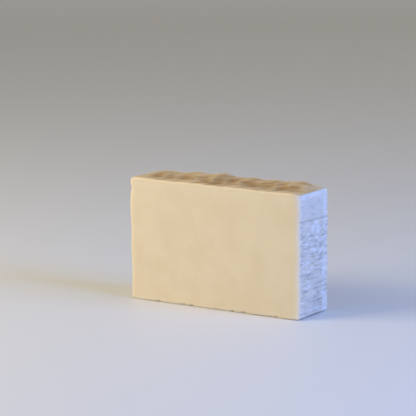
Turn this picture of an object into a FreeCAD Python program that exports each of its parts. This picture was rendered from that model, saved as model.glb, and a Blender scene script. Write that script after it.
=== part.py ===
import FreeCAD, Part
import Sketcher
import math
import os

# A hand-cut bar of soap: one slice of a poured loaf, standing on its long narrow base.
# The front and back are flat cut faces. The base and both ends took the form of the lined mould,
# and the top is the open top of the loaf, left in low swirls with a row of spoon marks.
# X runs along the bar, Y through the slice from the front cut face to the back one, and Z is up.
# The origin is the middle of the base. Every size is in millimetres.

SIZES = (
    ("bar_length", 89.7, "end to end along the base"),
    ("bar_thickness", 25.0, "cut face to cut face"),
    ("bar_height", 56.6, "base to the corners of the top"),
    ("end_lean", 0.5, "how far each end leans out by the top, the draft of the mould"),
    ("base_corner_radius", 1.5, "rounding between the base and each end, from the mould"),
    ("top_corner_radius", 1.3, "rounding between the top and each end"),
    ("cut_edge_radius", 1.0, "rounding round both cut faces"),
    ("crown_rise", 0.65, "how far the top swells up at mid length"),
    ("chop_rise", 0.24, "short waves on the top"),
    ("chop_pitch", 14.0, "crest to crest"),
    ("chop_crest", 7.0, "where one crest lies along X"),
    ("swell_rise", 0.2, "middling waves on the top"),
    ("swell_pitch", 19.5, "crest to crest"),
    ("swell_crest", -8.4, "where one crest lies along X"),
    ("roll_rise", 0.28, "long waves on the top"),
    ("roll_pitch", 40.0, "crest to crest"),
    ("roll_crest", -10.0, "where one crest lies along X"),
    ("spoon_radius", 24.0, "roundness of the spoon that marked the top"),
    ("spoon_depth", 0.6, "depth of a spoon mark below the swell of the top"),
    ("spoon_pitch", 13.3, "spacing of the spoon marks along X"),
    ("spoon_place", -34.4, "where the first spoon mark lies along X"),
    ("spoon_marks", 6, "how many there are"),
    ("ripple_rise", 0.2, "ripples that the liner leaves on both ends"),
    ("ripple_pitch", 19.0, "crest to crest, up the end"),
    ("ripple_crest", 2.0, "where one crest lies above the base"),
    ("right_crease_drop", 13.1, "liner crease across the right end, below the top corner"),
    ("right_crease_depth", 0.45, "how far it is pressed in"),
    ("right_crease_width", 1.3, "reach above and below its middle"),
    ("left_crease_drop", 5.0, "liner crease across the left end, below the top corner"),
    ("left_crease_depth", 0.65, "how far it is pressed in"),
    ("left_crease_width", 1.6, "reach above and below its middle"),
)

# The three trains of waves that make up the swirls, by the first word of their sizes.
WAVE_TRAINS = ("chop", "swell", "roll")
# Spacing of the bends in the outline, along the top and up the ends.
TOP_STEP = 5.6
END_STEP = 9.5
# How much of the shorter run beside it each bend takes up.
BEND_SHARE = 0.45
# A bend that turns by less than twice this angle, in radians, is left as a straight run.
STRAIGHT = 1e-4
# An edge within this distance of a place is taken to lie there.
NEAR = 1e-3

doc = FreeCAD.newDocument("soap_bar_document")


def fill_sheet():
    """Puts each size in a cell of its own, with its name as the alias."""
    sheet = doc.addObject("Spreadsheet::Sheet", "sizes")
    for row, (name, value, note) in enumerate(SIZES, start=1):
        sheet.set(f"A{row}", name)
        sheet.set(f"B{row}", str(value))
        sheet.set(f"C{row}", note)
        sheet.setAlias(f"B{row}", name)
    doc.recompute()
    return sheet


sizes = fill_sheet()


def ripple(train, place):
    """Level of one train of waves at a place along it."""
    rise = getattr(sizes, train + "_rise")
    pitch = getattr(sizes, train + "_pitch")
    crest = getattr(sizes, train + "_crest")
    return rise * math.cos(2 * math.pi * (place - crest) / pitch)


def stations(low, high, step):
    """Evenly spaced places from low to high, about a step apart."""
    count = max(2, round((high - low) / step))
    return [low + (high - low) * i / count for i in range(count + 1)]


def top_run():
    """Bends of the top, from its left corner to its right one: a crown with three trains of waves."""
    half = sizes.bar_length / 2 + sizes.end_lean
    bends = []
    for x in stations(-half, half, TOP_STEP):
        swell = sizes.crown_rise * (1 - (x / half) ** 2) + sum(ripple(train, x) for train in WAVE_TRAINS)
        at_corner = half - abs(x) < NEAR
        bends.append((x, sizes.bar_height + (0 if at_corner else swell)))
    return bends


def end_run(side, name):
    """Bends of one end, from the base up: it leans out, ripples, and dips at the liner's crease."""
    height = sizes.bar_height - getattr(sizes, name + "_crease_drop")
    depth = getattr(sizes, name + "_crease_depth")
    width = getattr(sizes, name + "_crease_width")

    def plain(z):
        return sizes.bar_length / 2 + sizes.end_lean * z / sizes.bar_height

    def rippled(z):
        return plain(z) + ripple("ripple", z)

    below = stations(0, height - width, END_STEP)[1:]
    above = stations(height + width, sizes.bar_height, END_STEP)[:-1]
    bends = [(plain(0), 0)]
    bends += [(rippled(z), z) for z in below]
    bends.append((rippled(height) - depth, height))
    bends += [(rippled(z), z) for z in above]
    bends.append((plain(sizes.bar_height), sizes.bar_height))
    return [(side * x, z) for x, z in bends]


def softened(bends):
    """Lines and tangent arcs along a run: each inner bend becomes an arc, as wide as its runs allow."""
    points = [FreeCAD.Vector(x, z, 0) for x, z in bends]
    pieces = []
    here = points[0]
    for before, bend, after in zip(points, points[1:], points[2:]):
        back = before - bend
        ahead = after - bend
        reach = BEND_SHARE * min(back.Length, ahead.Length)
        back.normalize()
        ahead.normalize()
        half_turn = (math.pi - back.getAngle(ahead)) / 2
        if half_turn < STRAIGHT:
            continue
        inward = (back + ahead).normalize()
        middle = bend + inward * reach * (1 / math.cos(half_turn) - 1) / math.tan(half_turn)
        start = bend + back * reach
        end = bend + ahead * reach
        pieces.append(Part.LineSegment(here, start))
        pieces.append(Part.Arc(start, middle, end))
        here = end
    pieces.append(Part.LineSegment(here, points[-1]))
    return pieces


def draw_outline(body):
    """The front outline: straight base, rippled ends and the waves of the top."""
    sketch = body.newObject("Sketcher::SketchObject", "front_outline")
    plane = next(f for f in body.Origin.OriginFeatures if f.Role == "XZ_Plane")
    sketch.AttachmentSupport = [(plane, "")]
    sketch.MapMode = "FlatFace"
    right_end = softened(end_run(1, "right"))
    top = softened(top_run()[::-1])
    left_end = softened(end_run(-1, "left")[::-1])
    half = sizes.bar_length / 2
    base = Part.LineSegment(FreeCAD.Vector(-half, 0, 0), FreeCAD.Vector(half, 0, 0))
    pieces = [base, *right_end, *top, *left_end]
    sketch.addGeometry(pieces, False)
    first_top = 1 + len(right_end)
    last_top = first_top + len(top) - 1
    tie_outline(sketch, len(pieces), first_top, last_top)
    return sketch


def tie_outline(sketch, count, first_top, last_top):
    """Joins the outline's pieces end to end and ties its corners to the sizes."""
    start, end, origin, vertical = 1, 2, (-1, 1), -2
    for i in range(count):
        following = (i + 1) % count
        last, first = end_points(sketch, i, following)
        sketch.addConstraint(Sketcher.Constraint("Coincident", i, last, following, first))
    sketch.addConstraint(Sketcher.Constraint("Horizontal", 0))
    sketch.addConstraint(Sketcher.Constraint("Symmetric", 0, start, 0, end, *origin))
    sketch.addConstraint(Sketcher.Constraint("Symmetric", first_top, start, last_top, end, vertical))
    ties = (
        ("base_length", "DistanceX", (0, start, 0, end), "sizes.bar_length"),
        ("top_length", "DistanceX", (last_top, end, first_top, start), "sizes.bar_length + 2 * sizes.end_lean"),
        ("corner_height", "DistanceY", (0, end, first_top, start), "sizes.bar_height"),
    )
    for name, kind, ends, size in ties:
        start_point = sketch.getPoint(ends[0], ends[1])
        end_point = sketch.getPoint(ends[2], ends[3])
        value = end_point.x - start_point.x if kind == "DistanceX" else end_point.y - start_point.y
        index = sketch.addConstraint(Sketcher.Constraint(kind, *ends, value))
        sketch.renameConstraint(index, name)
        sketch.setExpression(f"Constraints.{name}", size)


def end_points(sketch, piece, following):
    """Which end of one piece meets which end of the next: an arc may be stored the other way round."""
    pairs = [(last, first) for last in (1, 2) for first in (1, 2)]
    return min(
        pairs, key=lambda p: sketch.getPoint(piece, p[0]).distanceToPoint(sketch.getPoint(following, p[1]))
    )


def edges_where(shape, test):
    """Names of the edges that pass the test."""
    return [f"Edge{i}" for i, edge in enumerate(shape.Edges, start=1) if test(edge)]


def runs_through_at(x, z):
    """A test for the edge that runs from one cut face to the other at (x, z)."""

    def test(edge):
        box = edge.BoundBox
        middle = box.Center
        return box.YLength > NEAR and math.hypot(abs(middle.x) - x, middle.z - z) < NEAR

    return test


def meets_cut_face(edge):
    """True for an edge that lies in the front or the back cut face."""
    box = edge.BoundBox
    return box.YLength < NEAR and abs(abs(box.YMin) - sizes.bar_thickness / 2) < NEAR


def rounded(body, name, test, size):
    """A fillet on each edge that passes the test, its radius tied to a size."""
    before = body.Tip
    fillet = body.newObject("PartDesign::Fillet", name)
    fillet.Base = (before, edges_where(before.Shape, test))
    fillet.setExpression("Radius", size)
    doc.recompute()


def add_spoon_marks(body):
    """Shallow round dips along the middle of the top, one cut by a ball and the rest its pattern."""
    ball = body.newObject("PartDesign::SubtractiveSphere", "spoon_mark")
    ball.Placement.Rotation = FreeCAD.Rotation(FreeCAD.Vector(1, 0, 0), 90)
    ball.setExpression("Radius", "sizes.spoon_radius")
    ball.setExpression("Placement.Base.x", "sizes.spoon_place")
    ball.setExpression(
        "Placement.Base.z",
        "sizes.bar_height + sizes.crown_rise / 2 - sizes.spoon_depth + sizes.spoon_radius",
    )
    doc.recompute()
    marks = body.newObject("PartDesign::LinearPattern", "spoon_marks")
    marks.Originals = [ball]
    along = next(f for f in body.Origin.OriginFeatures if f.Role == "X_Axis")
    marks.Direction = (along, [""])
    marks.Mode = "Spacing"
    marks.setExpression("Offset", "sizes.spoon_pitch")
    marks.setExpression("Occurrences", "sizes.spoon_marks")
    body.Tip = marks
    doc.recompute()


def make_bar():
    """The bar: its outline padded to the thickness of the slice, rounded, and marked by the spoon."""
    body = doc.addObject("PartDesign::Body", "bar")
    body.Label = "soap_bar"
    outline = draw_outline(body)
    doc.recompute()
    pad = body.newObject("PartDesign::Pad", "plain_slice")
    pad.Profile = outline
    pad.SideType = "Symmetric"
    pad.setExpression("Length", "sizes.bar_thickness")
    doc.recompute()
    half = sizes.bar_length / 2
    rounded(body, "base_corners", runs_through_at(half, 0), "sizes.base_corner_radius")
    at_top = runs_through_at(half + sizes.end_lean, sizes.bar_height)
    rounded(body, "top_corners", at_top, "sizes.top_corner_radius")
    rounded(body, "cut_edges", meets_cut_face, "sizes.cut_edge_radius")
    add_spoon_marks(body)
    return body


def check(parts):
    """Stops if a feature failed or a part has no sound solid."""
    for item in doc.Objects:
        if {"Invalid", "Error"} & set(item.State):
            raise RuntimeError(f"{item.Name} failed: {item.State}")
    for part in parts:
        if part.Shape.isNull() or not part.Shape.isValid() or len(part.Shape.Solids) != 1:
            raise RuntimeError(f"{part.Label} has no sound solid")


parts = [make_bar()]
check(parts)
os.makedirs("parts", exist_ok=True)
for part in parts:
    part.Shape.exportStep(f"parts/{part.Label}.step")
    box = part.Shape.optimalBoundingBox(False)
    print(f"{part.Label}: {len(part.Shape.Faces)} faces, {part.Shape.Volume:.0f} mm3,", box)
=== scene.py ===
import math

import bpy
import numpy as np
from bpy.props import FloatProperty, FloatVectorProperty, PointerProperty
from mathutils import Color, Matrix, Vector


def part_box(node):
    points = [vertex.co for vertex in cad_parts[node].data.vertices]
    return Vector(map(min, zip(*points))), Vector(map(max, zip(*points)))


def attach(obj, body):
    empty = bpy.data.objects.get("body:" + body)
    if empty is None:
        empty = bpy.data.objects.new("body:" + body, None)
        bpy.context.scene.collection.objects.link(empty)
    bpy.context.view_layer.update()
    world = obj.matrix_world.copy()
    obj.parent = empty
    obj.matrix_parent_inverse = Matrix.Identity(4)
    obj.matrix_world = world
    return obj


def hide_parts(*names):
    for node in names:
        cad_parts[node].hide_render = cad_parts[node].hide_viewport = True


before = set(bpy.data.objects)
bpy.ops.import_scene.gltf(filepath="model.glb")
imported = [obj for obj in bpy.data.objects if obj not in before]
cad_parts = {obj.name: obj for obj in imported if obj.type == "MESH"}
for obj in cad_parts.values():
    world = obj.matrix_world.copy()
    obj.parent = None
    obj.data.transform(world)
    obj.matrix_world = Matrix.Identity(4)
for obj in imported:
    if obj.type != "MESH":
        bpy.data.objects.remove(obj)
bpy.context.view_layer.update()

bl_info = {
    "name": "Hand-cut bar of soap",
    "version": (1, 0, 0),
    "blender": (4, 5, 0),
    "location": "View3D > Sidebar > Soap",
    "description": "A slice of poured soap with cut faces, liner-pressed ends and a swirled tan top",
    "category": "Add Mesh",
}

# X runs along the bar, Y from the front cut face to the back one, and Z up from its base. Metres.
MM = 0.001
BAR_LOW, BAR_HIGH = (Vector(corner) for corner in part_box("soap_bar"))


def srgb(red, green, blue):
    """A colour as it looks on screen, from 0 to 255, as the linear one that a socket holds."""
    return Color((red / 255, green / 255, blue / 255)).from_srgb_to_scene_linear()[:]


def length_property(name, description, default):
    """A length in metres, shown in the scene's unit."""
    return FloatProperty(name=name, description=description, default=default, unit="LENGTH", precision=5)


def colour_property(name, description, default):
    """A colour with a swatch."""
    return FloatVectorProperty(
        name=name, description=description, default=default, subtype="COLOR", size=3, min=0, max=1
    )


def place_property(name, description, default):
    """A place in metres."""
    return FloatVectorProperty(
        name=name, description=description, default=default, subtype="TRANSLATION", unit="LENGTH", size=3
    )


class SoapBarShape(bpy.types.PropertyGroup):
    """Sizes of the bar and of the relief on its top and ends."""

    length: length_property("Length", "End to end along the base", 89.9 * MM)
    thickness: length_property("Thickness", "Cut face to cut face", BAR_HIGH.y - BAR_LOW.y)
    height: length_property("Height", "Base to the level of the top at its ends", 56.5 * MM)
    end_lean: length_property("End lean", "How far each end leans out by the top", 0.5 * MM)
    base_corner: length_property("Base corner", "Rounding between the base and each end", 1.5 * MM)
    top_corner: length_property("Top corner", "Rounding between the top and each end", 1.3 * MM)
    cut_edge: length_property("Cut edge", "Rounding round both cut faces", 1.0 * MM)
    crown: length_property("Crown", "How far the top swells up at mid length", 0.52 * MM)
    front_fall: length_property("Front fall", "Fall of the front rim from left to right", 0.6 * MM)
    trough: length_property("Trough", "How far the top dips at mid thickness", 0.45 * MM)
    spoon_depth: length_property("Spoon depth", "Depth of the hollows that the spoon left", 0.6 * MM)
    swirl_rise: length_property("Swirl rise", "Height of the crests that the spoon drew up", 0.62 * MM)
    ripple: length_property("Ripple", "Ripples that the liner leaves on both ends", 0.16 * MM)
    lip: length_property("Lip", "Lip that the fill line leaves at the top of each end", 0.25 * MM)
    crease_height: length_property("Crease height", "Height of the crease across the right end", 43.2 * MM)
    right_crease: length_property("Right crease", "Depth of the crease across the right end", 0.32 * MM)
    left_crease_height: length_property("Left crease height", "Height of the left end's crease", 51.6 * MM)
    left_crease: length_property("Left crease", "Depth of the crease near the top of the left end", 0.65 * MM)
    dent_depth: length_property("Dent depth", "Dents that wrinkles left in the right end", 0.42 * MM)
    base_lift: length_property("Base lift", "How far the base rises under the right end", 0.4 * MM)
    fold_width: length_property("Fold width", "Strip by the back edge where the liner folded over", 5.2 * MM)
    fold_drop: length_property("Fold drop", "How far that strip falls away", 0.4 * MM)
    edge_wear: length_property("Edge wear", "How far the cut faces' upright edges are worn in", 0.38 * MM)
    corner_wear: length_property("Corner wear", "How far the four top corners are worn down", 0.55 * MM)
    nick_depth: length_property("Nick depth", "Wear along the bottom edges", 0.5 * MM)
    cell: length_property("Cell", "Size of the mesh's squares along the bar", 0.65 * MM)
    fine_cell: length_property("Fine cell", "Size of the squares across it and up it", 0.43 * MM)
    edge_cell: length_property("Edge cell", "Size of the squares over the roundings", 0.16 * MM)


class SoapColours(bpy.types.PropertyGroup):
    """Colours of the cut soap, the pressed ends and the poured top."""

    cut: colour_property("Cut soap", "Inside of the loaf, on both cut faces", srgb(226, 210, 178))
    cut_deep: colour_property("Cut soap, deeper", "Faint blotches on the cut faces", srgb(222, 205, 172))
    cut_edge: colour_property("Cut soap, edges", "Drier, paler soap along the cut edges", srgb(226, 212, 186))
    pressed: colour_property("Pressed soap", "Ends and base, paler from the liner", srgb(219, 207, 188))
    # Paler soap in the fold, and painted highlight on the lip, the back rim, the front face by the right end
    # and in the dents.
    pressed_pale_and_highlight: colour_property("Pressed soap, lip", "Lip, fold and rubbed edge", srgb(236, 228, 214))
    # Also painted shade along the crease across the right end.
    pressed_line_and_shade: colour_property("Pressed line", "In the lines that the liner left", srgb(160, 147, 132))
    # Also painted highlight in the dents of the right end.
    scuff_and_highlight: colour_property("Scuffs", "Dry pale scuffs in the pressed soap", srgb(250, 247, 240))
    poured: colour_property("Poured top", "Skin of the open top", srgb(220, 188, 134))
    poured_low: colour_property("Poured top, low", "In the spoon marks and troughs", srgb(174, 131, 74))
    # Painted highlight along the top's back rim, and a paler patch by the right rim.
    poured_rim: colour_property("Poured top, rim", "Along the back and right rims", srgb(226, 209, 185))


class StageSettings(bpy.types.PropertyGroup):
    """The floor, the lights and the camera."""

    floor: colour_property("Floor", "Floor and backdrop", srgb(230, 226, 216))
    azimuth: FloatProperty(
        name="Azimuth",
        description="Turn of the view to the right end",
        default=math.radians(33.74),
        unit="ROTATION",
    )
    elevation: FloatProperty(
        name="Elevation",
        description="How far the view looks down",
        default=math.radians(10.05),
        unit="ROTATION",
    )
    roll: FloatProperty(
        name="Roll",
        description="Tilt of the frame",
        default=math.radians(-0.55),
        unit="ROTATION",
    )
    distance: length_property("Distance", "Camera to the middle of the bar", 0.958)
    shift_right: length_property("Shift right", "Camera's place across the view", -8.92 * MM)
    shift_up: length_property("Shift up", "Camera's place up the view", 15.75 * MM)
    lens: FloatProperty(name="Lens", description="Focal length in millimetres", default=184.5)
    key_place: place_property("Key place", "Where the main light hangs", (-0.45, -0.47, 0.35))
    key_size: length_property("Key size", "Side of the main light", 0.45)
    key_power: FloatProperty(name="Key power", description="Main light in watts", default=3.7, unit="POWER")
    key_colour: colour_property("Key colour", "Colour of the main light", srgb(255, 244, 221))
    side_place: place_property("Side place", "Where the cool light hangs", (0.62, 0.0, 0.32))
    side_size: length_property("Side size", "Side of the cool light", 0.34)
    side_power: FloatProperty(name="Side power", description="Cool light in watts", default=4.6, unit="POWER")
    side_colour: colour_property("Side colour", "Colour of the cool light", srgb(98, 154, 255))
    sky: FloatProperty(name="Sky", description="Strength of the even light from all round", default=0.4)


# Surface of the bar

# Places and sizes in these tables are in millimetres.
# Spoon marks on the top: X, Y, and the share of the spoon's depth.
SPOON_PRESSES = (
    (-34.2, -4.5, 0.3),
    (-22.0, -1.5, 0.6),
    (-3.1, -6.0, 0.9),
    (-0.6, 3.6, 0.8),
    (10.5, 1.0, 0.9),
    (18.6, -2.5, 0.9),
    (32.4, -3.0, 1.0),
)
# Wave trains of the top's back rim: rise, pitch, X of one crest, and slant across the bar.
BACK_TRAINS = ((0.24, 14.0, 7.0, 0.08), (0.20, 19.5, -8.4, -0.13), (0.28, 40.0, -10.0, 0.09))
# Mounds on the back rim: X, spread and rise.
BACK_MOUNDS = ((-7.4, 2.6, 0.42), (8.0, 2.6, 0.3), (31.5, 4.5, 0.3), (-19.0, 5.0, 0.2))
# Dents in the right end: Y and Z.
DENT_PLACES = (
    (-1.2, 40.4), (3.0, 39.7), (-1.8, 38.4), (3.2, 37.7), (-5.2, 37.2), (1.0, 42.0), (-3.6, 35.2),
    (2.2, 34.9), (5.4, 33.2), (-2.4, 32.3), (3.4, 31.1), (-0.4, 29.6), (4.8, 28.4), (7.0, 20.6),
    (9.6, 20.0), (8.6, 18.2), (-6.4, 24.6), (-2.0, 22.0), (9.8, 1.9), (7.8, 9.8), (-4.0, 14.0),
)
# Nicks in the front bottom edge: X and reach.
FRONT_NICKS = ((-29.6, 0.9), (-16.0, 0.7), (-11.8, 1.1), (10.1, 0.8), (16.0, 1.2), (33.0, 0.8))
# Width of the band, in from the outline, that gets the finest squares.
FINE_BAND = 1.6 * MM
# The relief of the top fades out this far below it, and that of the ends this far in from them.
RELIEF_FADE = 12 * MM


def smooth_step(value, low, high):
    """0 below low, 1 above high, and 3t^2 - 2t^3 between."""
    t = np.clip((value - low) / (high - low), 0, 1)
    return t * t * (3 - 2 * t)


def bell(distance, reach):
    """1 at no distance, falling as exp(-(distance / reach)^2)."""
    return np.exp(-((distance / reach) ** 2))


def wave(place, pitch, crest=0.0):
    """cos(2 pi (place - crest) / pitch)."""
    return np.cos(2 * np.pi * (place - crest) / pitch)


def axis_stations(low, high, edge, cell, edge_cell):
    """Places along an axis: fine steps within the edge's reach of both limits, plain ones between."""
    fine = max(1, round(edge / edge_cell))
    plain = max(1, round((high - low - 2 * edge) / cell))
    return np.concatenate(
        (
            np.linspace(low, low + edge, fine, endpoint=False),
            np.linspace(low + edge, high - edge, plain, endpoint=False),
            np.linspace(high - edge, high, fine + 1),
        )
    )


def box_grid(xs, ys, zs):
    """Points and squares of a box's six sides, a grid on each, sharing the points along its edges.

    A point's number is (i * count_y + j) * count_z + k for its station on each axis. Squares turn
    anticlockwise seen from outside.
    """
    counts = (len(xs), len(ys), len(zs))
    sides = []
    for axis in range(3):
        first, second = (axis + 1) % 3, (axis + 2) % 3
        u, v = np.meshgrid(np.arange(counts[first]), np.arange(counts[second]), indexing="ij")
        for end in (0, counts[axis] - 1):
            place = np.empty(u.shape + (3,), dtype=np.int64)
            place[..., axis] = end
            place[..., first] = u
            place[..., second] = v
            number = (place[..., 0] * counts[1] + place[..., 1]) * counts[2] + place[..., 2]
            square = np.stack((number[:-1, :-1], number[1:, :-1], number[1:, 1:], number[:-1, 1:]), axis=-1)
            square = square.reshape(-1, 4)
            sides.append(square if end else square[:, ::-1])
    used, squares = np.unique(np.concatenate(sides), return_inverse=True)
    i, rest = np.divmod(used, counts[1] * counts[2])
    j, k = np.divmod(rest, counts[2])
    return np.stack((xs[i], ys[j], zs[k]), axis=1), squares.reshape(-1, 4)


def rounded_box(points, shape):
    """Moves a box's surface points onto its rounded form, and gives each point's outward direction.

    Depth is a point's distance in from the outline. First the cut edges: across the rounding, the
    pair (edge - depth, past the flat) is scaled from the square's side onto the quarter circle. Then
    the corners of the outline: a point in a corner's square goes to the same level of its circle.
    """
    half = np.array((shape.length / 2, shape.thickness / 2))
    x, y, z = points.T
    depth = np.minimum(half[0] - np.abs(x), np.minimum(z, shape.height - z))
    inward = np.clip(shape.cut_edge - depth, 0, None)
    past = np.clip(np.abs(y) - (half[1] - shape.cut_edge), 0, None)
    level = np.maximum(inward, past)
    spread = np.hypot(inward, past)
    scale = np.where(spread > 0, level / np.where(spread > 0, spread, 1), 1)
    new_depth = np.where(inward > 0, shape.cut_edge - inward * scale, depth)
    y = np.where(past > 0, np.sign(y) * (half[1] - shape.cut_edge + past * scale), y)

    corner = np.where(z > shape.height / 2, shape.top_corner, shape.base_corner)
    over_x = np.abs(x) - (half[0] - corner)
    over_z = np.abs(z - shape.height / 2) - (shape.height / 2 - corner)
    in_corner = (over_x > 0) & (over_z > 0)
    reach = np.maximum(over_x, over_z)
    new_reach = corner - new_depth
    turn = np.hypot(over_x, over_z)
    safe_turn = np.where(in_corner, turn, 1)
    side_x, side_z = np.sign(x), np.sign(z - shape.height / 2)
    at_side = over_x > over_z
    out_x = np.where(in_corner, over_x / safe_turn, np.where(at_side, 1.0, 0.0))
    out_z = np.where(in_corner, over_z / safe_turn, np.where(at_side, 0.0, 1.0))
    near_x = half[0] - corner + np.where(in_corner, out_x * new_reach, new_reach)
    near_z = shape.height / 2 - corner + np.where(in_corner, out_z * new_reach, new_reach)
    moved = (reach > 0) & (depth < corner)
    x = np.where(moved & (in_corner | at_side), side_x * near_x, x)
    z = np.where(moved & (in_corner | ~at_side), shape.height / 2 + side_z * near_z, z)

    flat = np.where(spread > 0, inward / np.where(spread > 0, spread, 1), 0)
    through = np.where(spread > 0, past / np.where(spread > 0, spread, 1), 0)
    face = (inward <= 0) & (past > 0)
    through = np.where(face, 1, through)
    normal = np.stack((side_x * out_x * flat, np.sign(y) * through, side_z * out_z * flat), axis=1)
    return np.stack((x, y, z), axis=1), normal


def hollows(x, y):
    """Where the spoon pressed the top: a bell at each place, shallower at the left of the bar."""
    total = 0
    for place_x, place_y, share in SPOON_PRESSES:
        total = total + share * bell(x - place_x * MM, 4.6 * MM) * bell(y - place_y * MM, 4.4 * MM)
    return np.minimum(total, 1)


def ridge(place, pitch):
    """0.83 on each crest and 0 between, as 1 - sqrt(sin^2(pi place / pitch) + 0.03)."""
    return 1 - np.sqrt(np.sin(np.pi * place / pitch) ** 2 + 0.03)


def swirls(x, y):
    """Crests that the spoon drew up between the rims: ridges along two sets of curved lines."""
    first = x + 2.4 * MM * wave(y, 21 * MM, 4 * MM) + 1.4 * MM * wave(x, 31 * MM, 6 * MM)
    second = y - 0.45 * x + 1.9 * MM * wave(x, 27 * MM, -9 * MM)
    return 0.6 * ridge(first, 8.3 * MM) + 0.4 * ridge(second, 6.7 * MM)


def top_dip(x, y, shape):
    """How far the top lies below its rims: a trough (1 - across^2) with the spoon's hollows in it."""
    across = 2 * y / shape.thickness
    return (shape.trough + shape.spoon_depth * (hollows(x, y) - 0.35)) * (1 - across**2)


def top_relief(x, y, shape):
    """Level of the poured top: its front rim is nearly straight, and its back rim rolls.

    The back's level is a crown with slanted trains of waves and mounds. Each train is
    rise * cos(2 pi (x + slant * y - crest) / pitch), and each mound is a bell along the rim. The
    front's level falls evenly to the right under one long wave. They blend across the bar, less
    the dip, and the swirls stand up between the rims and the ends.
    """
    along = 2 * x / shape.length
    back = shape.crown * (1 - along**2)
    for rise, pitch, crest, slant in BACK_TRAINS:
        back = back + rise * MM * wave(x + slant * y, pitch * MM, crest * MM)
    for place, spread, rise in BACK_MOUNDS:
        back = back + rise * MM * bell(x - place * MM, spread * MM)
    front = -shape.front_fall * (0.5 + 0.5 * along) + 0.12 * MM * wave(x, 26.0 * MM, -13.0 * MM)
    share = smooth_step(y, -0.9 * shape.thickness / 2, 0.8 * shape.thickness / 2)
    level = front + share * (back - front) - top_dip(x, y, shape)
    across = 2 * y / shape.thickness
    between = (1 - across**4) * smooth_step(-np.abs(along), -0.99, -0.9)
    return level + shape.swirl_rise * (swirls(x, y) - 0.1) * between


def dents(y, z):
    """Dents in the right end: a bell of 1 round each place, wider across the end than up it."""
    total = 0
    for place_y, place_z in DENT_PLACES:
        total = total + bell(y - place_y * MM, 1.15 * MM) * bell(z - place_z * MM, 0.7 * MM)
    return total


def crease_line(y, z, reach, shape):
    """1 along the liner's crease across the right end, falling off within the reach."""
    return bell(z - shape.crease_height + 0.015 * y, reach)


def end_relief(x, y, z, shape):
    """How far an end stands out: lean, fill-line lip, liner ripples, a crease and marks of the liner.

    Lean is in proportion to height, the lip and the creases are bells, and the ripples are waves.
    On the right end the liner folded over by the back edge, where the surface falls away along
    the soft ramp (past + hypot(past, softness)) / 2, and a nick lies on that edge.
    """
    right = x > 0
    side = np.where(right, 1, -1)
    lean = shape.end_lean * z / shape.height
    lip = shape.lip * bell(z - shape.height, 1.8 * MM)
    ripple = shape.ripple * wave(z + side * 0.25 * y, 19.0 * MM, 7.0 * MM)
    sag = 0.25 * MM * wave(y, 31.0 * MM, 2.0 * MM)
    right_crease = shape.right_crease * crease_line(y, z, 0.5 * MM, shape)
    left_crease = shape.left_crease * bell(z - shape.left_crease_height - sag, 1.5 * MM)
    past = y - (shape.thickness / 2 - shape.fold_width)
    ramp = (past + np.hypot(past, 0.3 * MM)) / 2
    fold = shape.fold_drop * ramp / shape.fold_width + 0.16 * MM * bell(past, 0.45 * MM)
    notch = 0.45 * MM * bell(z - 45.8 * MM, 0.8 * MM) * bell(y - shape.thickness / 2, 2.2 * MM)
    wrinkled = smooth_step(-z, -43 * MM, -38 * MM)
    wrinkles = 0.05 * MM * wave(z + 0.12 * y, 3.1 * MM) * wave(z - 0.05 * y, 4.3 * MM, 1.0 * MM)
    marks = shape.dent_depth * dents(y, z) - wrinkled * wrinkles
    return lean + lip + ripple - np.where(right, right_crease + fold + notch + marks, left_crease)


def bottom_wear(x, y, z, shape):
    """Small nicks in the bottom edges: bells at a few places in front, and sharp crests of waves."""
    front = sum(bell(x - place * MM, reach * MM) for place, reach in FRONT_NICKS)
    hard = wave(x, 23.0 * MM, 5.0 * MM) + wave(x, 9.1 * MM, 2.0 * MM) + 0.7 * wave(x, 3.7 * MM, 1.0 * MM)
    worn = 0.5 * smooth_step(hard, 0.9, 2.4)
    near = bell(z, 0.8 * MM) * bell(shape.thickness / 2 - np.abs(y), 0.8 * MM)
    return shape.nick_depth * np.where(y < 0, np.maximum(front, worn), worn) * near


def under_right_end(x, y, z, shape):
    """Rise of the base under the right end: 1 - across^2, fading in from the end and up it."""
    across = 2 * y / shape.thickness
    return shape.base_lift * (1 - across**2) * bell(shape.length / 2 - x, 4.0 * MM) * bell(z, 2.6 * MM)


def worn_edges(x, y, z, shape):
    """How far the cut faces ease in towards the ends: edge_wear * (1 - distance / reach)^2.

    The front right edge is worn most, and more so up it.
    """
    reach = 3.4 * MM
    near = np.clip(1 - (shape.length / 2 - np.abs(x)) / reach, 0, 1)
    most = np.where((x > 0) & (y < 0), 1.3 + 1.7 * z / shape.height, 1)
    return most * shape.edge_wear * near**2 * smooth_step(np.abs(y), 0, shape.thickness / 2)


def worn_corners(x, y, z, shape):
    """How far the four top corners are worn down: corner_wear times a bell along each axis."""
    along = bell(shape.length / 2 - np.abs(x), 2.6 * MM)
    across = bell(shape.thickness / 2 - np.abs(y), 2.6 * MM)
    return shape.corner_wear * along * across * bell(shape.height - z, 2.2 * MM)


def edge_distance(points, shape):
    """How far a surface point lies from the nearest of the box's twelve edges."""
    x, y, z = points.T
    from_ends = shape.length / 2 - np.abs(x)
    from_faces = shape.thickness / 2 - np.abs(y)
    from_levels = np.minimum(z, shape.height - z)
    gaps = np.stack((from_ends, from_faces, from_levels))
    gaps.sort(axis=0)
    return gaps[1]


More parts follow.
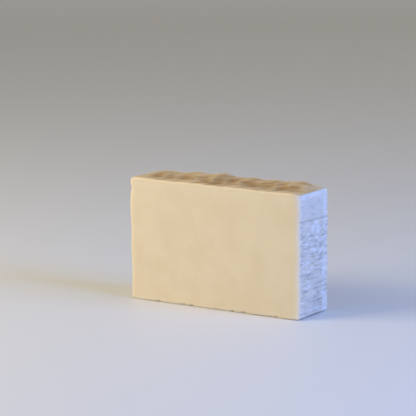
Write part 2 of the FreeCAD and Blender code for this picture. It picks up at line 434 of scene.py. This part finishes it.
def bar_surface(shape):
    """The bar's points, squares and zone masks.

    A grid over a box is rounded, then warped: heights change with the relief of the top and
    lengths with the relief of the ends, each fading out as a smooth step, and wear takes the
    edges and corners in. The grid has extra rows at the crease. The poured mask reaches faintly
    down both cut faces, as tinted.
    """
    half_x, half_y = shape.length / 2, shape.thickness / 2
    xs = axis_stations(-half_x, half_x, FINE_BAND, shape.cell, shape.edge_cell)
    ys = axis_stations(-half_y, half_y, shape.cut_edge, shape.fine_cell, shape.edge_cell)
    zs = axis_stations(0, shape.height, FINE_BAND, shape.fine_cell, shape.edge_cell)
    zs = np.union1d(zs, shape.crease_height + np.linspace(-0.9 * MM, 0.9 * MM, 9))
    flat, squares = box_grid(xs, ys, zs)
    points, normal = rounded_box(flat, shape)
    x, y, z = points.T
    lift = smooth_step(z, shape.height - RELIEF_FADE, shape.height - shape.top_corner)
    reach = smooth_step(np.abs(x), half_x - RELIEF_FADE, half_x - shape.base_corner)
    wear = bottom_wear(x, y, z, shape)
    corners = worn_corners(x, y, z, shape)
    new_x = x + np.sign(x) * (reach * end_relief(x, y, z, shape) - 0.7 * corners)
    new_y = y - np.sign(y) * (wear + worn_edges(x, y, z, shape) + 0.5 * corners)
    new_z = z + lift * top_relief(x, y, shape) + wear + under_right_end(x, y, z, shape) - corners

    tinted = 0.3 * np.where(np.abs(normal[:, 1]) > 0.3, bell(shape.height - z, 1.5 * MM), 0)
    poured = np.maximum(smooth_step(normal[:, 2], 0.35, 0.99), tinted) * smooth_step(x, -47 * MM, -39 * MM)
    pressed = np.maximum(smooth_step(np.abs(normal[:, 0]), 0.4, 0.8), smooth_step(-normal[:, 2], 0.4, 0.8))
    dip = 0.5 * (1 - (2 * y / shape.thickness) ** 2) + 0.5 * hollows(x, y) - 0.7 * (swirls(x, y) - 0.25)
    # Painted highlights and paler soap: the top's back rim, the right end's lip and the front face by the
    # right end are painted paler where light catches them. The fold strip and a patch of the top by the right
    # rim are painted paler too.
    back = smooth_step(y, half_y - 3.6 * MM, half_y - 0.6 * MM)
    right = 0.6 * smooth_step(x, 35 * MM, 44 * MM) * smooth_step(y, -6 * MM, 6 * MM)
    lip = smooth_step(z, shape.height - 2.9 * MM, shape.height - 2.2 * MM)
    fold = 0.7 * smooth_step(y, half_y - shape.fold_width - 0.3 * MM, half_y - shape.fold_width + 0.3 * MM)
    on_right = np.where(x > 0, pressed, 0)
    # Painted highlight: light that wraps round the right end onto the front face, painted as paler soap along
    # that edge.
    in_front = np.where(x > 0, smooth_step(-normal[:, 1], 0.2, 0.7), 0)
    highlit = 0.85 * in_front * bell(half_x - x, 1.9 * MM)
    masks = {
        "poured": poured,
        "pressed": pressed,
        "dip": dip * poured,
        "pale_and_highlight": np.maximum.reduce((back * poured, right * poured, lip * on_right, fold * on_right, highlit)),
        # Painted highlight in the dents of the right end.
        "dent_highlight": np.minimum(dents(y, z), 1) * on_right,
        "rim": bell(edge_distance(flat, shape), 1.5 * MM),
        # Painted shade along the crease across the right end.
        "crease": crease_line(y, z, 0.33 * MM, shape) * on_right,
    }
    return np.stack((new_x, new_y, new_z), axis=1), squares, masks


def mesh_from_grid(name, points, squares, masks):
    """A mesh of squares with smooth faces, and a float attribute on its points for each mask."""
    mesh = bpy.data.meshes.new(name)
    mesh.vertices.add(len(points))
    mesh.vertices.foreach_set("co", points.astype(np.float32).ravel())
    mesh.loops.add(squares.size)
    mesh.loops.foreach_set("vertex_index", squares.astype(np.int32).ravel())
    mesh.polygons.add(len(squares))
    mesh.polygons.foreach_set("loop_start", np.arange(0, squares.size, 4, dtype=np.int32))
    for mask, values in masks.items():
        layer = mesh.attributes.new(mask, "FLOAT", "POINT")
        layer.data.foreach_set("value", values.astype(np.float32))
    mesh.update(calc_edges=True)
    mesh.shade_smooth()
    mesh.validate()
    return mesh


# Materials

# Heights of the finish's parts, against the waxy grain's height of 1, which is GRAIN_HEIGHT.
GRAIN_HEIGHT = 0.04 * MM
LUMP_RELIEF = 9.0
LINE_RELIEF = -7.0
PUCKER_RELIEF = 12.0
DRAG_RELIEF = 1.5
# Scale of the knife's faint upright drag marks: fine along the bar and long up it.
DRAG_SCALE = (420.0, 1.0, 14.0)
# The liner's lines fade in below the first height, and are full below the second.
LINES_FROM = 43.5 * MM
LINES_FULL = 39.0 * MM
# Strength of the pale scuffs above those heights, against 1 below them.
SCUFFS_ABOVE = 0.45
# The cut faces turn paler between these heights, below the top.
PALE_FROM = 50.5 * MM
PALE_FULL = 55.0 * MM


def add_node(tree, kind, place, inputs=None, **settings):
    """A shader node at a place, with its settings, and its inputs set or linked by name."""
    made = tree.nodes.new(kind)
    made.location = (place[0] * 200, place[1] * 200)
    for setting, value in settings.items():
        setattr(made, setting, value)
    for name, value in (inputs or {}).items():
        socket = made.inputs[name]
        if isinstance(value, bpy.types.NodeSocket):
            tree.links.new(value, socket)
        else:
            socket.default_value = value
    return made


def math_node(tree, place, operation, first, second, third=0.0):
    """The output of a math node on two or three values."""
    inputs = {0: first, 1: second, 2: third}
    return add_node(tree, "ShaderNodeMath", place, inputs, operation=operation).outputs[0]


def new_group(name, inputs, outputs):
    """An empty shader node group with named float, vector or colour sockets."""
    tree = bpy.data.node_groups.new(name, "ShaderNodeTree")
    for socket, kind, default in inputs:
        made = tree.interface.new_socket(socket, in_out="INPUT", socket_type=kind)
        if default is not None:
            made.default_value = default
    for socket, kind in outputs:
        tree.interface.new_socket(socket, in_out="OUTPUT", socket_type=kind)
    source = tree.nodes.new("NodeGroupInput")
    target = tree.nodes.new("NodeGroupOutput")
    source.location = (-900, 0)
    target.location = (900, 0)
    return tree, source.outputs, target.inputs


def cloud_group():
    """Soft blotches of one colour in another: the bias spreads them, and softness blurs their edges."""
    tree, given, out = new_group(
        "soap_clouds",
        (
            ("Vector", "NodeSocketVector", None),
            ("Scale", "NodeSocketFloat", 90.0),
            ("Bias", "NodeSocketFloat", 0.0),
            ("Softness", "NodeSocketFloat", 0.15),
            ("Plain", "NodeSocketColor", (1, 1, 1, 1)),
            ("Blotch", "NodeSocketColor", (0, 0, 0, 1)),
        ),
        (("Color", "NodeSocketColor"),),
    )
    cloud = add_node(
        tree,
        "ShaderNodeTexNoise",
        (-3, 0),
        {"Vector": given["Vector"], "Scale": given["Scale"], "Detail": 4.0, "Roughness": 0.55},
    )
    shifted = math_node(tree, (-1, 0), "ADD", cloud.outputs["Fac"], given["Bias"])
    low = math_node(tree, (-1, -1), "SUBTRACT", 0.5, given["Softness"])
    high = math_node(tree, (-1, -2), "ADD", 0.5, given["Softness"])
    share = add_node(
        tree,
        "ShaderNodeMapRange",
        (0, 0),
        {"Value": shifted, "From Min": low, "From Max": high},
        interpolation_type="SMOOTHSTEP",
    )
    mixed = add_node(
        tree,
        "ShaderNodeMix",
        (2, 0),
        {"Factor": share.outputs[0], "A": given["Plain"], "B": given["Blotch"]},
        data_type="RGBA",
    )
    tree.links.new(mixed.outputs["Result"], out["Color"])
    return tree


def grain_group():
    """Fine waxy grain: a height from small noise, less a small pit in the middle of each cell."""
    tree, given, out = new_group(
        "soap_grain",
        (
            ("Vector", "NodeSocketVector", None),
            ("Grain", "NodeSocketFloat", 1.0),
            ("Pits", "NodeSocketFloat", 1.0),
        ),
        (("Height", "NodeSocketFloat"),),
    )
    fine = add_node(
        tree,
        "ShaderNodeTexNoise",
        (-3, 1),
        {"Vector": given["Vector"], "Scale": 1400.0, "Detail": 3.0, "Roughness": 0.6},
    )
    cells = add_node(tree, "ShaderNodeTexVoronoi", (-3, -1), {"Vector": given["Vector"], "Scale": 260.0})
    pit = add_node(
        tree,
        "ShaderNodeMapRange",
        (-1, -1),
        {"Value": cells.outputs["Distance"], "From Min": 0.05, "From Max": 0.2, "To Min": 1.0, "To Max": 0.0},
    )
    pits = math_node(tree, (0, -1), "MULTIPLY", pit.outputs[0], given["Pits"])
    grain = math_node(tree, (0, 1), "MULTIPLY", fine.outputs["Fac"], given["Grain"])
    tree.links.new(math_node(tree, (2, 0), "SUBTRACT", grain, pits), out["Height"])
    return tree


def liner_group():
    """Marks that the mould's liner left: short lines below the crease, soft puckers and pale scuffs."""
    tree, given, out = new_group(
        "liner_marks",
        (("Vector", "NodeSocketVector", None), ("Patches", "NodeSocketFloat", 110.0)),
        (("Line", "NodeSocketFloat"), ("Pucker", "NodeSocketFloat"), ("Scuff", "NodeSocketFloat")),
    )

    def stretched_noise(height, scale, detail):
        stretch = {"Vector": given["Vector"], "Scale": scale}
        mapped = add_node(tree, "ShaderNodeMapping", (-4, height), stretch).outputs[0]
        inputs = {"Vector": mapped, "Scale": 1.0, "Detail": detail, "Roughness": 0.55}
        return add_node(tree, "ShaderNodeTexNoise", (-3, height), inputs).outputs["Fac"]

    def ramp(height, value, low, high, least=0.0):
        inputs = {"Value": value, "From Min": low, "From Max": high, "To Min": least}
        made = add_node(tree, "ShaderNodeMapRange", (-1, height), inputs, interpolation_type="SMOOTHSTEP")
        return made.outputs[0]

    lines = ramp(1, stretched_noise(1, (60.0, 120.0, 1250.0), 3.0), 0.47, 0.66)
    puckers = stretched_noise(0, (90.0, 190.0, 430.0), 2.0)
    scuffs = ramp(2, stretched_noise(2, (150.0, 210.0, 980.0), 3.5), 0.52, 0.72)
    patch_inputs = {"Vector": given["Vector"], "Scale": given["Patches"], "Detail": 1.0}
    patches = add_node(tree, "ShaderNodeTexNoise", (-3, -2), patch_inputs).outputs["Fac"]
    up = add_node(tree, "ShaderNodeSeparateXYZ", (-3, -3), {"Vector": given["Vector"]}).outputs["Z"]
    below = ramp(-3, up, LINES_FROM, LINES_FULL)
    where = math_node(tree, (0, -2), "MULTIPLY", ramp(-2, patches, 0.3, 0.54), below)
    tree.links.new(math_node(tree, (1, 1), "MULTIPLY", lines, where), out["Line"])
    tree.links.new(puckers, out["Pucker"])
    mostly_below = ramp(-4, up, LINES_FROM, LINES_FULL, SCUFFS_ABOVE)
    tree.links.new(math_node(tree, (1, 2), "MULTIPLY", scuffs, mostly_below), out["Scuff"])
    return tree


def zone(tree, name, place):
    """One of the masks that the bar's mesh carries on its points."""
    return add_node(tree, "ShaderNodeAttribute", place, attribute_name=name).outputs["Fac"]


def soap_material(colours):
    """Waxy, slightly translucent soap: cut cream, liner-pressed ends and a tan poured skin."""
    material = bpy.data.materials.new("cured_soap")
    material.use_nodes = True
    tree = material.node_tree
    shader = tree.nodes["Principled BSDF"]
    place = add_node(tree, "ShaderNodeTexCoord", (-10, 0)).outputs["Object"]
    names = ("poured", "pressed", "dip", "pale_and_highlight", "rim", "crease", "dent_highlight")
    zones = (zone(tree, name, (-10, -3 - i)) for i, name in enumerate(names))
    poured, pressed, dip, pale_and_highlight, rim, crease, dent_highlight = zones
    clouds, grains, liner = cloud_group(), grain_group(), liner_group()

    def cloud(height, scale, plain, blotch, bias=0.0, softness=0.15):
        inputs = {"Vector": place, "Scale": scale, "Bias": bias, "Softness": softness}
        inputs.update({"Plain": plain, "Blotch": blotch})
        return add_node(tree, "ShaderNodeGroup", (-7, height), inputs, node_tree=clouds).outputs["Color"]

    def mix(spot, share, first, second):
        inputs = {"Factor": share, "A": first, "B": second}
        return add_node(tree, "ShaderNodeMix", spot, inputs, data_type="RGBA").outputs["Result"]

    def combine(spot, operation, first, second, third=0.0):
        return math_node(tree, spot, operation, first, second, third)

    lines = add_node(tree, "ShaderNodeGroup", (-8, 2), {"Vector": place}, node_tree=liner)
    lined = combine((-6, 3), "MULTIPLY", lines.outputs["Line"], pressed)
    puckers = lines.outputs["Pucker"]

    cut = cloud(1, 75.0, (*colours.cut, 1), (*colours.cut_deep, 1))
    height = add_node(tree, "ShaderNodeSeparateXYZ", (-9, 4), {"Vector": place}).outputs["Z"]
    band_range = {"Value": height, "From Min": PALE_FROM, "From Max": PALE_FULL, "To Max": 0.5}
    band = add_node(tree, "ShaderNodeMapRange", (-8, 5), band_range, interpolation_type="SMOOTHSTEP")
    paled = combine((-6, 1), "MAXIMUM", combine((-7, 2), "MULTIPLY", rim, 0.6), band.outputs[0])
    cut = mix((-5, 1), paled, cut, (*colours.cut_edge, 1))
    # Painted highlights and paler soap on the cut faces, where those masks reach them.
    cut = mix((-4, 1), pale_and_highlight, cut, (*colours.pressed_pale_and_highlight, 1))
    # Painted highlights: the pressed soap turns paler in the dents and in the zones of painted highlight and
    # paler soap.
    paled_and_lit = combine((-8, 0), "MAXIMUM", pale_and_highlight, dent_highlight)
    paled_and_lit_share = combine((-7, 0), "MULTIPLY", paled_and_lit, 0.7)
    pressed_colour = mix((-6, 0), paled_and_lit_share, (*colours.pressed, 1), (*colours.pressed_pale_and_highlight, 1))
    faint_lines = combine((-7, -1), "MULTIPLY", lined, 0.6)
    # The liner's lines are darker, and the crease across the right end gets painted shade.
    painted_crease_shade = combine((-7, -2), "MULTIPLY", crease, 0.45)
    marks_and_shade = combine((-6, -1), "MAXIMUM", faint_lines, painted_crease_shade)
    marks_and_shade = combine((-5, -2), "MULTIPLY_ADD", combine((-6, -2), "SUBTRACT", puckers, 0.5), 1.3, marks_and_shade)
    pressed_colour = mix((-5, 0), marks_and_shade, pressed_colour, (*colours.pressed_line_and_shade, 1))
    faint_scuffs = combine((-7, -8), "MULTIPLY", lines.outputs["Scuff"], 0.6)
    # Pale scuffs, and painted highlights in the dents.
    scuffs_and_highlights = combine((-6, -7), "MAXIMUM", faint_scuffs, combine((-7, -9), "MULTIPLY", dent_highlight, 0.6))
    pressed_colour = mix((-4, -1), scuffs_and_highlights, pressed_colour, (*colours.scuff_and_highlight, 1))
    low_bias = combine((-9, -2), "MULTIPLY_ADD", dip, 0.8, -0.34)
    skin = cloud(-1, 170.0, (*colours.poured, 1), (*colours.poured_low, 1), low_bias, 0.46)
    # Painted highlight along the top's back rim, and a paler patch by the right rim.
    skin = mix((-5, -1), combine((-6, -2), "MULTIPLY", pale_and_highlight, 0.9), skin, (*colours.poured_rim, 1))
    ends = mix((-4, 0), pressed, cut, pressed_colour)
    colour = mix((-3, 0), poured, ends, skin)

    grain = add_node(tree, "ShaderNodeGroup", (-5, -4), {"Vector": place, "Pits": 0.5}, node_tree=grains)
    skin_lumps = add_node(
        tree, "ShaderNodeTexNoise", (-7, -5), {"Vector": place, "Scale": 380.0, "Detail": 3.0}
    ).outputs["Fac"]
    lumps = combine((-5, -5), "MULTIPLY", skin_lumps, combine((-6, -6), "MULTIPLY", poured, LUMP_RELIEF))
    relief = combine((-3, -4), "ADD", grain.outputs["Height"], lumps)
    relief = combine((-2, -4), "MULTIPLY_ADD", lined, LINE_RELIEF, relief)
    puckered = combine((-3, -6), "MULTIPLY", puckers, pressed)
    relief = combine((-1, -5), "MULTIPLY_ADD", puckered, PUCKER_RELIEF, relief)
    drag = add_node(tree, "ShaderNodeMapping", (-7, -7), {"Vector": place, "Scale": DRAG_SCALE}).outputs[0]
    drag_inputs = {"Vector": drag, "Scale": 1.0, "Detail": 2.0}
    dragged = add_node(tree, "ShaderNodeTexNoise", (-6, -7), drag_inputs).outputs["Fac"]
    relief = combine((0, -5), "MULTIPLY_ADD", dragged, DRAG_RELIEF, relief)
    bump_inputs = {"Strength": 0.6, "Distance": GRAIN_HEIGHT, "Height": relief}
    bump = add_node(tree, "ShaderNodeBump", (-1, -4), bump_inputs)

    rough = add_node(tree, "ShaderNodeTexNoise", (-5, -3), {"Vector": place, "Scale": 160.0}).outputs["Fac"]
    base_rough = add_node(
        tree, "ShaderNodeMapRange", (-4, -3), {"Value": rough, "To Min": 0.42, "To Max": 0.58}
    ).outputs[0]
    roughness = combine((-2, -3), "MULTIPLY_ADD", poured, 0.12, base_rough)
    tree.links.new(colour, shader.inputs["Base Color"])
    tree.links.new(roughness, shader.inputs["Roughness"])
    tree.links.new(bump.outputs[0], shader.inputs["Normal"])
    shader.inputs["Subsurface Weight"].default_value = 0.4
    shader.inputs["Subsurface Radius"].default_value = (1.0, 0.8, 0.6)
    shader.inputs["Subsurface Scale"].default_value = 0.004
    shader.inputs["IOR"].default_value = 1.46
    return material


def floor_material(colour):
    """Plain pale board with a matt surface."""
    material = bpy.data.materials.new("pale_board")
    material.use_nodes = True
    shader = material.node_tree.nodes["Principled BSDF"]
    shader.inputs["Base Color"].default_value = (*colour, 1)
    shader.inputs["Roughness"].default_value = 0.55
    return material


# Stage


def camera_matrix(stage, middle):
    """Camera looking along the azimuth and elevation at the bar, moved across and up the view."""
    sin_a, cos_a = math.sin(stage.azimuth), math.cos(stage.azimuth)
    sin_e, cos_e = math.sin(stage.elevation), math.cos(stage.elevation)
    back = Vector((cos_e * sin_a, -cos_e * cos_a, sin_e))
    right = Vector((cos_a, sin_a, 0))
    up = back.cross(right)
    place = middle + back * stage.distance + right * stage.shift_right + up * stage.shift_up
    sin_r, cos_r = math.sin(stage.roll), math.cos(stage.roll)
    rolled_right = right * cos_r + up * sin_r
    rolled_up = up * cos_r - right * sin_r
    matrix = Matrix((rolled_right, rolled_up, back)).transposed().to_4x4()
    matrix.translation = place
    return matrix


def sweep_surface():
    """Floor that turns up into a backdrop: a profile of a line, a quarter circle and a line.

    The profile is carried straight across the view. It runs from the camera's side to the wall.
    """
    radius, front, wall, top, half_width = 0.5, -2.5, 1.4, 2.6, 3.0
    angle = np.linspace(0, np.pi / 2, 25)
    curve_y = wall + radius * np.sin(angle)
    curve_z = radius * (1 - np.cos(angle))
    profile_y = np.concatenate(([front], curve_y, [wall + radius]))
    profile_z = np.concatenate(([0], curve_z, [top]))
    across = np.array((-half_width, half_width))
    y = np.tile(profile_y, 2)
    z = np.tile(profile_z, 2)
    x = np.repeat(across, len(profile_y))
    row = np.arange(len(profile_y) - 1)
    squares = np.stack((row, row + len(profile_y), row + len(profile_y) + 1, row + 1), axis=1)
    return np.stack((x, y, z), axis=1), squares


def area_light(name, place, target, size, power, colour):
    """A square soft light that faces the target."""
    data = bpy.data.lights.new(name, "AREA")
    data.size = size
    data.energy = power
    data.color = colour
    light = bpy.data.objects.new(name, data)
    light.location = place
    light.rotation_euler = (Vector(target) - Vector(place)).to_track_quat("-Z", "Y").to_euler()
    bpy.context.collection.objects.link(light)
    return light


class SOAP_OT_make_bar(bpy.types.Operator):
    """Make the bar of soap and its material"""

    bl_idname = "soap.make_bar"
    bl_label = "Make the bar"

    def execute(self, context):
        shape = context.scene.soap_bar_shape
        points, squares, masks = bar_surface(shape)
        mesh = mesh_from_grid("swirled_bar", points, squares, masks)
        mesh.materials.append(soap_material(context.scene.soap_colours))
        bar = bpy.data.objects.new("swirled_bar", mesh)
        context.collection.objects.link(bar)
        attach(bar, "root")
        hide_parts("soap_bar")
        return {"FINISHED"}


class SOAP_OT_set_stage(bpy.types.Operator):
    """Set the floor, the lights and the camera"""

    bl_idname = "soap.set_stage"
    bl_label = "Set the stage"

    def execute(self, context):
        stage = context.scene.soap_stage
        points, squares = sweep_surface()
        turn = Matrix.Rotation(stage.azimuth, 3, "Z")
        points = points @ np.array(turn).T
        floor = bpy.data.objects.new("floor", mesh_from_grid("floor", points, squares, {}))
        floor.data.materials.append(floor_material(stage.floor))
        context.collection.objects.link(floor)

        middle = Vector((0, 0, context.scene.soap_bar_shape.height / 2))
        area_light("key", stage.key_place, middle, stage.key_size, stage.key_power, stage.key_colour)
        area_light("side", stage.side_place, middle, stage.side_size, stage.side_power, stage.side_colour)
        world = bpy.data.worlds.new("soft_sky")
        world.use_nodes = True
        background = world.node_tree.nodes["Background"]
        background.inputs["Color"].default_value = (1, 1, 1, 1)
        background.inputs["Strength"].default_value = stage.sky
        context.scene.world = world

        data = bpy.data.cameras.new("camera")
        data.lens = stage.lens
        data.sensor_width = 36.0
        data.clip_start = 0.05
        camera = bpy.data.objects.new("camera", data)
        camera.matrix_world = camera_matrix(stage, middle)
        context.collection.objects.link(camera)
        context.scene.camera = camera
        context.scene.view_settings.view_transform = "Standard"
        return {"FINISHED"}


class SOAP_PT_panel(bpy.types.Panel):
    """Makes the bar and its stage"""

    bl_label = "Bar of soap"
    bl_space_type = "VIEW_3D"
    bl_region_type = "UI"
    bl_category = "Soap"

    def draw(self, context):
        for group in (context.scene.soap_bar_shape, context.scene.soap_colours, context.scene.soap_stage):
            box = self.layout.box()
            for name in group.__annotations__:
                box.prop(group, name)
        self.layout.operator(SOAP_OT_make_bar.bl_idname)
        self.layout.operator(SOAP_OT_set_stage.bl_idname)


CLASSES = (SoapBarShape, SoapColours, StageSettings, SOAP_OT_make_bar, SOAP_OT_set_stage, SOAP_PT_panel)


def register():
    """Registers the classes and puts the settings on the scene."""
    for cls in CLASSES:
        bpy.utils.register_class(cls)
    bpy.types.Scene.soap_bar_shape = PointerProperty(type=SoapBarShape)
    bpy.types.Scene.soap_colours = PointerProperty(type=SoapColours)
    bpy.types.Scene.soap_stage = PointerProperty(type=StageSettings)


def unregister():
    """Takes the settings and the classes away again."""
    del bpy.types.Scene.soap_stage
    del bpy.types.Scene.soap_colours
    del bpy.types.Scene.soap_bar_shape
    for cls in reversed(CLASSES):
        bpy.utils.unregister_class(cls)


def main():
    register()
    bpy.ops.soap.make_bar()
    bpy.ops.soap.set_stage()


if __name__ == "__main__":
    main()
